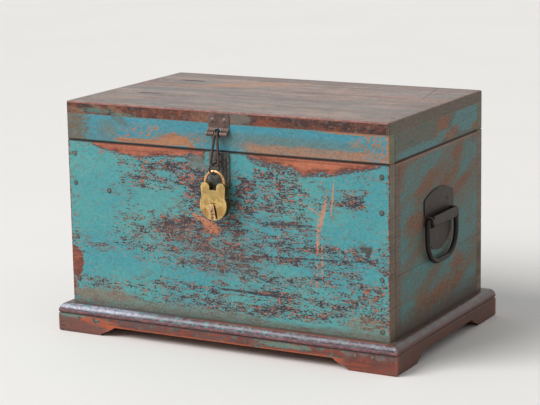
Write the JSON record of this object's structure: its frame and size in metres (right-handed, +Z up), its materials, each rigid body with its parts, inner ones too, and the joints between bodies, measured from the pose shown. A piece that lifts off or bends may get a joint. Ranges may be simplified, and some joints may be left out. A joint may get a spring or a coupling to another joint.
{
  "type": "merchant chest",
  "caption": "Plank-built chest with a box lid on back hinges, moulded bracket-foot plinth, bail handles, hasp link, ring and padlock.",
  "frame": {"origin": "on the floor under the middle of the chest's body", "axes": "+X to the chest's right as seen from the front, +Y to the back, +Z up; the hasp and padlock face -Y"},
  "size_m": [0.639, 0.4167, 0.398],
  "materials": {
    "body_paint": "worn teal paint over wood",
    "end_paint": "worn blue-green paint over wood",
    "lid_paint": "worn blue paint over wood",
    "top_wood": "dark worn varnish on wood",
    "plinth_wood": "glossy dark red-brown wood",
    "bare_wood": "bare sawn wood",
    "dark_iron": "dark forged iron with rust",
    "painted_iron": "iron plate with worn grey-green paint",
    "lock_brass": "aged yellow brass",
    "shackle_brass": "polished bow of redder brass"
  },
  "bodies": {
    "chest": {"front_upper_plank": "body_paint", "front_lower_plank": "body_paint", "back_upper_plank": "body_paint", "back_lower_plank": "body_paint", "left_end_upper_plank": "end_paint", "left_end_lower_plank": "end_paint", "right_end_upper_plank": "end_paint", "right_end_lower_plank": "end_paint", "floor_front_plank": "bare_wood", "floor_middle_plank": "bare_wood", "floor_rear_plank": "bare_wood", "floor_bearers": "bare_wood", "plinth_front": "plinth_wood", "plinth_back": "plinth_wood", "plinth_left": "plinth_wood", "plinth_right": "plinth_wood", "wall_nails": "dark_iron", "plinth_nails": "dark_iron", "left_hinge_body_leaf": "dark_iron", "right_hinge_body_leaf": "dark_iron", "left_hinge_pin": "dark_iron", "right_hinge_pin": "dark_iron", "hinge_body_nails": "dark_iron", "staple_plate": "painted_iron", "staple": "dark_iron", "staple_plate_nails": "dark_iron", "left_handle_plate": "dark_iron", "right_handle_plate": "dark_iron", "left_handle_nails": "dark_iron", "right_handle_nails": "dark_iron"},
    "lid": {"lid_front_rail": "lid_paint", "lid_back_rail": "lid_paint", "lid_left_rail": "lid_paint", "lid_right_rail": "lid_paint", "lid_front_plank": "top_wood", "lid_rear_plank": "top_wood", "lid_end_piece": "top_wood", "lid_nails": "dark_iron", "left_hinge_lid_leaf": "dark_iron", "right_hinge_lid_leaf": "dark_iron", "hinge_lid_nails": "dark_iron", "hasp_plate": "dark_iron", "hasp_rivets": "dark_iron", "hasp_pin": "dark_iron"},
    "hasp_link": {"hasp_link": "dark_iron"},
    "lock_ring": {"lock_ring": "dark_iron"},
    "shackle": {"padlock_shackle": "shackle_brass"},
    "lock_case": {"padlock_rim": "lock_brass", "padlock_front_plate": "lock_brass", "padlock_back_plate": "lock_brass", "padlock_pivot_pin": "lock_brass", "padlock_rivets": "lock_brass", "cover_rivet": "lock_brass"},
    "lock_bolt": {"padlock_bolt": "lock_brass"},
    "lock_levers": {"padlock_levers": "lock_brass"},
    "keyhole_cover": {"keyhole_cover": "lock_brass"},
    "left_bail": {"left_handle_bail": "dark_iron"},
    "right_bail": {"right_handle_bail": "dark_iron"}
  },
  "joints": [
    {"name": "lid_hinge", "type": "hinge", "parent": "chest", "child": "lid", "pos_m": [0, 0.1883, 0.33195], "axis": [-1, 0, 0], "range_deg": [0, 110]},
    {"name": "hasp_link_hinge", "type": "hinge", "parent": "lid", "child": "hasp_link", "pos_m": [-0.003, -0.1905, 0.3615], "axis": [-1, 0, 0], "range_deg": [0, 145]},
    {"name": "lock_ring_swing", "type": "hinge", "parent": "hasp_link", "child": "lock_ring", "pos_m": [-0.003, -0.20135, 0.31212], "axis": [-1, 0, 0], "range_deg": [-5, 40]},
    {"name": "padlock_swing", "type": "hinge", "parent": "lock_ring", "child": "shackle", "pos_m": [-0.003, -0.20135, 0.29742], "axis": [0, 1, 0], "range_deg": [-30, 30]},
    {"name": "shackle_pivot", "type": "hinge", "parent": "shackle", "child": "lock_case", "pos_m": [-0.02035, -0.20135, 0.26677], "axis": [0, 1, 0], "range_deg": [0, 90]},
    {"name": "bolt_slide", "type": "slide", "parent": "lock_case", "child": "lock_bolt", "axis": [1, 0, 0], "range_m": [0, 0.002]},
    {"name": "lever_lift", "type": "hinge", "parent": "lock_case", "child": "lock_levers", "pos_m": [-0.01315, -0.20135, 0.25687], "axis": [0, -1, 0], "range_deg": [0, 6]},
    {"name": "keyhole_cover_swing", "type": "hinge", "parent": "lock_case", "child": "keyhole_cover", "pos_m": [-0.0056, -0.2087, 0.24557], "axis": [0, 1, 0], "range_deg": [-100, 100]},
    {"name": "left_bail_swing", "type": "hinge", "parent": "chest", "child": "left_bail", "pos_m": [-0.3073, 0, 0.2165], "axis": [0, 1, 0], "range_deg": [0, 170]},
    {"name": "right_bail_swing", "type": "hinge", "parent": "chest", "child": "right_bail", "pos_m": [0.3073, 0, 0.2165], "axis": [0, -1, 0], "range_deg": [0, 170]}
  ]
}
